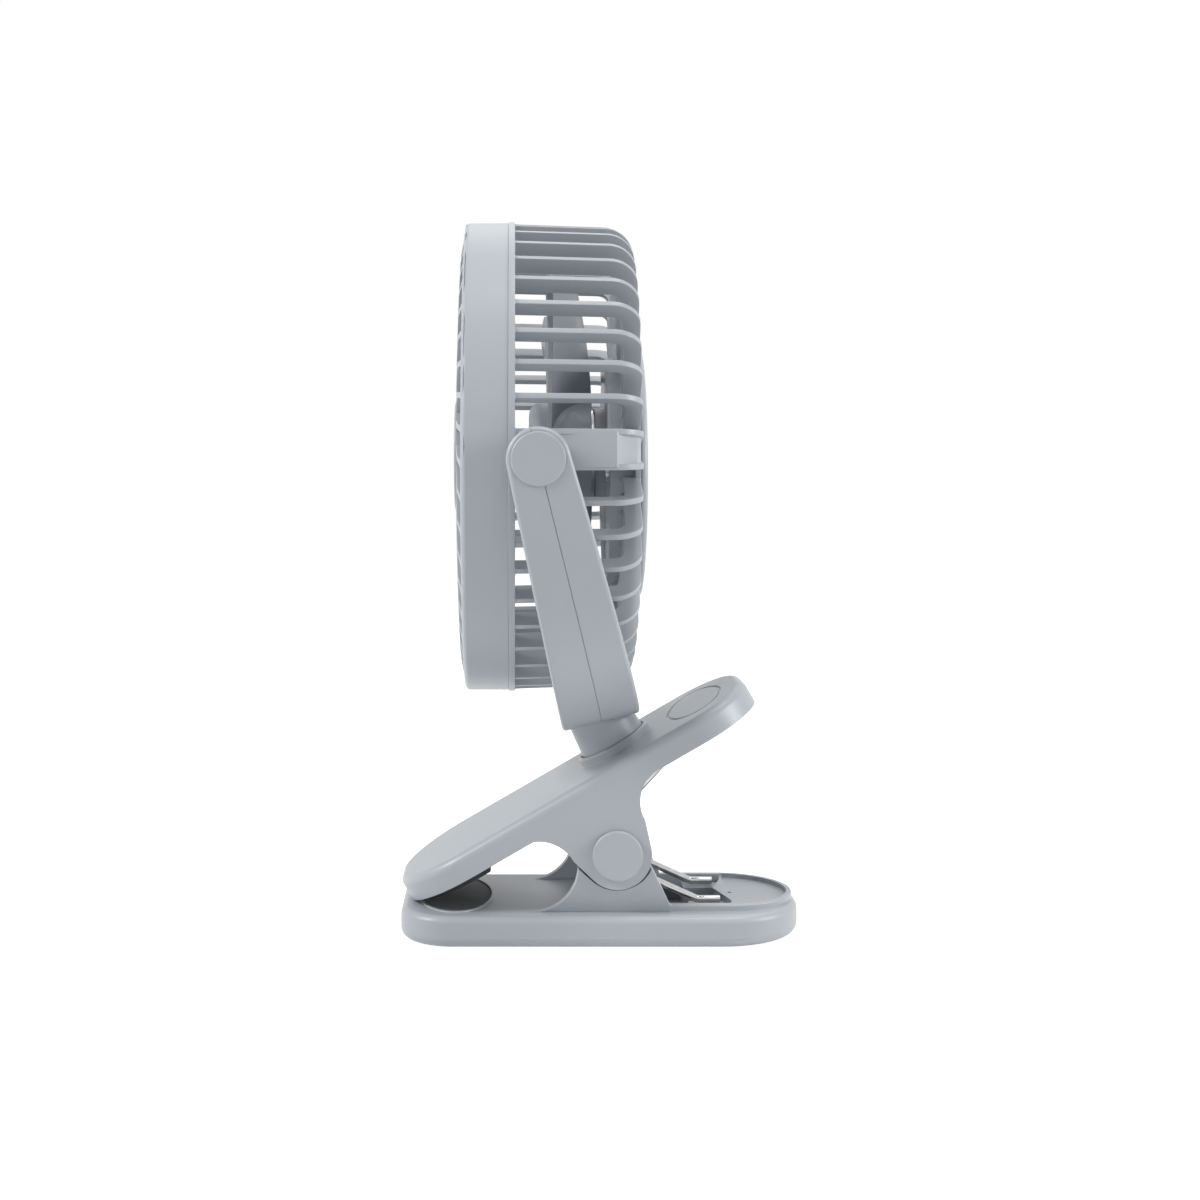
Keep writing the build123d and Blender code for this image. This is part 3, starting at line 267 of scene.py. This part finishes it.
def washer_nylon():
    """Natural nylon, punched from sheet: milky off-white, slightly translucent."""
    material, tree = new_material("natural_nylon_sheet")
    place = put(tree, "ShaderNodeTexCoord").outputs["Object"]
    cloud = put(tree, "ShaderNodeTexNoise", {"Vector": place, "Scale": 300.0, "Detail": 3.0})
    surface = put(
        tree,
        "ShaderNodeBsdfPrincipled",
        {
            "Base Color": two_tones(tree, cloud.outputs["Fac"], "#E2DED2", "#ECE9E0"),
            "Roughness": 0.45,
            "IOR": 1.53,
            "Subsurface Weight": 0.1,
            "Subsurface Scale": 0.5 * mm,
        },
    )
    put(tree, "ShaderNodeOutputMaterial", {"Surface": surface.outputs["BSDF"]})
    return material


def battery_foil():
    """Laminated aluminium pouch: satin foil with soft wrinkles 2 to 3 mm apart."""
    material, tree = new_material("laminated_aluminium_pouch")
    place = put(tree, "ShaderNodeTexCoord").outputs["Object"]
    wrinkles = put(tree, "ShaderNodeTexNoise", {"Vector": place, "Scale": 380.0, "Detail": 3.0})
    relief = put(
        tree,
        "ShaderNodeBump",
        {"Height": wrinkles.outputs["Fac"], "Strength": 0.35, "Distance": 0.2 * mm},
    )
    surface = put(
        tree,
        "ShaderNodeBsdfPrincipled",
        {
            "Base Color": two_tones(tree, wrinkles.outputs["Fac"], "#B4B8BC", "#C6C9CB"),
            "Metallic": 0.85,
            "Roughness": 0.38,
            "Normal": relief.outputs["Normal"],
        },
    )
    put(tree, "ShaderNodeOutputMaterial", {"Surface": surface.outputs["BSDF"]})
    return material


def circuit_board_resist():
    """Glass fibre board under green solder resist, with copper tracks showing paler."""
    material, tree = new_material("glass_fibre_green_solder_resist")
    place = put(tree, "ShaderNodeTexCoord").outputs["Object"]
    tracks = put(
        tree, "ShaderNodeTexVoronoi", {"Vector": place, "Scale": 420.0, "Randomness": 0.55}
    )
    relief = put(
        tree,
        "ShaderNodeBump",
        {"Height": tracks.outputs["Distance"], "Strength": 0.2, "Distance": 0.05 * mm},
    )
    surface = put(
        tree,
        "ShaderNodeBsdfPrincipled",
        {
            "Base Color": two_tones(tree, tracks.outputs["Distance"], "#1E6B3C", "#124A2A"),
            "Roughness": 0.25,
            "IOR": 1.5,
            "Normal": relief.outputs["Normal"],
        },
    )
    put(tree, "ShaderNodeOutputMaterial", {"Surface": surface.outputs["BSDF"]})
    return material


def light_pipe():
    """Frosted clear acrylic: milky, with light passing through its body."""
    material, tree = new_material("frosted_clear_acrylic")
    place = put(tree, "ShaderNodeTexCoord").outputs["Object"]
    frost = put(tree, "ShaderNodeTexNoise", {"Vector": place, "Scale": 900.0, "Detail": 3.0})
    gloss = put(
        tree,
        "ShaderNodeMapRange",
        {"Value": frost.outputs["Fac"], "To Min": 0.3, "To Max": 0.5},
    )
    surface = put(
        tree,
        "ShaderNodeBsdfPrincipled",
        {
            "Base Color": two_tones(tree, frost.outputs["Fac"], "#E4E9EC", "#F1F4F6"),
            "Roughness": gloss.outputs["Result"],
            "IOR": 1.49,
            "Transmission Weight": 0.45,
        },
    )
    put(tree, "ShaderNodeOutputMaterial", {"Surface": surface.outputs["BSDF"]})
    return material


grey_abs = abs_plastic()
blade_pp_painted_shade = blade_plastic()
nose_rubber = pad_rubber("moulded_silicone_black", "#222526", "#2E3132")
base_rubber = pad_rubber("moulded_silicone_dark_grey", "#43484B", "#565C60")
switch_black = pad_rubber("moulded_nylon_black", "#151515", "#222222")
spring_wire = plain_steel("drawn_spring_wire_bright", "#D6D7D6", "#A9ABAB", 0.2, 0.06, 500.0)
zinc_steel = plain_steel("zinc_plated_steel", "#C4C7C9", "#A5A9AC", 0.32, 0.08, 260.0)
nickel_shell = plain_steel("stamped_steel_nickel_plated", "#CBCCCB", "#B0B2B2", 0.24, 0.05, 300.0)
motor_can = turned_motor_can()
nylon = washer_nylon()
foil = battery_foil()
board = circuit_board_resist()
acrylic = light_pipe()

finishes = {
    "base_cover_screws": zinc_steel,
    "hinge_pin": zinc_steel,
    "neck_washer": zinc_steel,
    "neck_screw": zinc_steel,
    "yoke_screws": zinc_steel,
    "pivot_screws": zinc_steel,
    "friction_washers": nylon,
    "cover_screws": zinc_steel,
    "motor": motor_can,
    "motor_shaft": zinc_steel,
    "battery": foil,
    "circuit_board": board,
    "power_switch": switch_black,
    "charging_port": nickel_shell,
    "indicator_lens": acrylic,
    "power_button": grey_abs,
}
for node_name, finish in finishes.items():
    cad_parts[node_name].data.materials.clear()
    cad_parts[node_name].data.materials.append(finish)

# ---------------------------------------------------------------- mouldings with rounded edges


def moulding(node_name, body, material, edge, sharp=38):
    """A copy of a moulded piece, its edges rounded over as a mould leaves them.

    The rounding is edge millimetres wide, on edges that turn by more than sharp degrees.
    """
    piece = bpy.data.objects.new(node_name + "_moulding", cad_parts[node_name].data.copy())
    bpy.context.scene.collection.objects.link(piece)
    pick(piece)
    bpy.ops.mesh.customdata_custom_splitnormals_clear()
    bpy.ops.object.mode_set(mode="EDIT")
    bpy.ops.mesh.select_all(action="SELECT")
    bpy.ops.mesh.remove_doubles(threshold=sliver)
    bpy.ops.mesh.dissolve_degenerate(threshold=sliver)
    bpy.ops.mesh.beautify_fill(angle_limit=radians(0.5))
    bpy.ops.object.mode_set(mode="OBJECT")
    rounding = piece.modifiers.new("rounded edges", "BEVEL")
    rounding.width = edge * mm
    rounding.segments = 2
    rounding.limit_method = "ANGLE"
    rounding.angle_limit = radians(sharp)
    rounding.use_clamp_overlap = False
    rounding.loop_slide = False
    bpy.ops.object.modifier_apply(modifier=rounding.name)
    bpy.ops.object.shade_smooth_by_angle(angle=radians(32))
    flats = piece.modifiers.new("flats stay flat", "WEIGHTED_NORMAL")
    flats.keep_sharp = True
    bpy.ops.object.modifier_apply(modifier=flats.name)
    piece.data.materials.clear()
    piece.data.materials.append(material)
    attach(piece, body)
    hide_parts(node_name)


moulding("rear_cage", "head", grey_abs, 0.2)
moulding("front_guard", "head", grey_abs, 0.15)
moulding("yoke_front_shell", "yoke", grey_abs, 0.05)
moulding("yoke_rear_shell", "yoke", grey_abs, 0.05)
moulding("upper_jaw", "upper_jaw", grey_abs, 0.2)
moulding("base_shell", "lower_jaw", grey_abs, 0.15)
moulding("fan_blades", "rotor", blade_pp_painted_shade, 0.2)
moulding("upper_jaw_pad", "upper_jaw", nose_rubber, 0.45)
moulding("lower_jaw_pad", "lower_jaw", base_rubber, 0.4)
moulding("hinge_caps", "lower_jaw", grey_abs, 0.3)
moulding("pivot_caps", "yoke", grey_abs, 0.2)
moulding("swivel_neck", "yoke", grey_abs, 0.25)
moulding("guard_cap", "head", grey_abs, 0.3, sharp=70)
moulding("back_cover", "head", grey_abs, 0.35)
moulding("base_cover", "lower_jaw", grey_abs, 0.25)

# ---------------------------------------------------------------- spring
# A merged copy of the wound wire. Its cut ends are broken and it is smooth shaded, and it stays
# fixed where it stands.
wire = bpy.data.objects.new("spring_wire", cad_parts["torsion_spring"].data.copy())
white_room.collection.objects.link(wire)
pick(wire)
bpy.ops.mesh.customdata_custom_splitnormals_clear()
bpy.ops.object.mode_set(mode="EDIT")
bpy.ops.mesh.select_all(action="SELECT")
bpy.ops.mesh.remove_doubles(threshold=0.001 * mm)
bpy.ops.object.mode_set(mode="OBJECT")
cut_ends = wire.modifiers.new("broken edges of the cut ends", "BEVEL")
cut_ends.width = 0.15 * mm
cut_ends.segments = 2
cut_ends.limit_method = "ANGLE"
cut_ends.angle_limit = radians(60)
bpy.ops.object.modifier_apply(modifier=cut_ends.name)
bpy.ops.object.shade_smooth_by_angle(angle=radians(40))
wire.data.materials.clear()
wire.data.materials.append(spring_wire)
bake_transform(wire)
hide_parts("torsion_spring")

# ---------------------------------------------------------------- camera, floor and lights
eye = bpy.data.cameras.new("camera")
eye.lens = 57.0
eye.shift_x = 0.0708
eye.shift_y = -0.1333
camera = bpy.data.objects.new("camera", eye)
camera.location = (-0.0233, -0.5278, 0.1345)
camera.rotation_euler = (radians(90), 0, 0)
white_room.collection.objects.link(camera)
white_room.camera = camera
white_room.view_settings.view_transform = "Standard"

bpy.ops.object.select_all(action="DESELECT")
bpy.ops.mesh.primitive_plane_add(size=6.0, location=(0, 0, 0))
floor = bpy.context.object
floor.name = "studio_floor"

# Matt white paper. What the camera and reflections see of it is nearly all its own white,
# so that the ground is as white as the photograph's and still holds a soft shadow.
paper, tree = new_material("matt_white_paper")
lit = put(tree, "ShaderNodeBsdfDiffuse", {"Color": (0.8, 0.8, 0.8, 1)})
shaded = put(tree, "ShaderNodeBsdfDiffuse", {"Color": (0.5, 0.5, 0.5, 1)})
glow = put(tree, "ShaderNodeEmission", {"Strength": 0.87})
shown = put(tree, "ShaderNodeAddShader", {0: shaded.outputs["BSDF"], 1: glow.outputs["Emission"]})
both = put(
    tree,
    "ShaderNodeMixShader",
    {0: looked_at(tree), 1: lit.outputs["BSDF"], 2: shown.outputs["Shader"]},
)
put(tree, "ShaderNodeOutputMaterial", {"Surface": both.outputs["Shader"]})
floor.data.materials.append(paper)

# The white room round it: bright to the camera and in reflections, softer as a light
room_light = 0.24
room = bpy.data.worlds.new("white_room")
room.use_nodes = True
room.node_tree.nodes.clear()
level = put(
    room.node_tree,
    "ShaderNodeMapRange",
    {"Value": looked_at(room.node_tree), "To Min": room_light, "To Max": 1.0},
)
sky = put(
    room.node_tree,
    "ShaderNodeBackground",
    {"Color": (1, 1, 1, 1), "Strength": level.outputs["Result"]},
)
put(room.node_tree, "ShaderNodeOutputWorld", {"Surface": sky.outputs["Background"]})
white_room.world = room


fan_middle = Vector((0, 0, 0.1))


def softbox(name, place, size, power):
    """A square lamp that looks at the middle of the fan."""
    lamp = bpy.data.lights.new(name, "AREA")
    lamp.size = size
    lamp.energy = power
    box = bpy.data.objects.new(name, lamp)
    box.location = place
    look = fan_middle - Vector(place)
    box.rotation_euler = look.to_track_quat("-Z", "Y").to_euler()
    white_room.collection.objects.link(box)


softbox("left_lamp", (-1.0, -0.35, 0.8), 0.5, 11.0)
softbox("right_lamp", (1.3, -0.4, 0.5), 0.6, 10.5)
softbox("top_lamp", (0.35, -0.1, 1.4), 0.5, 5.0)
softbox("back_lamp", (0.2, 0.9, 1.1), 0.8, 1.5)
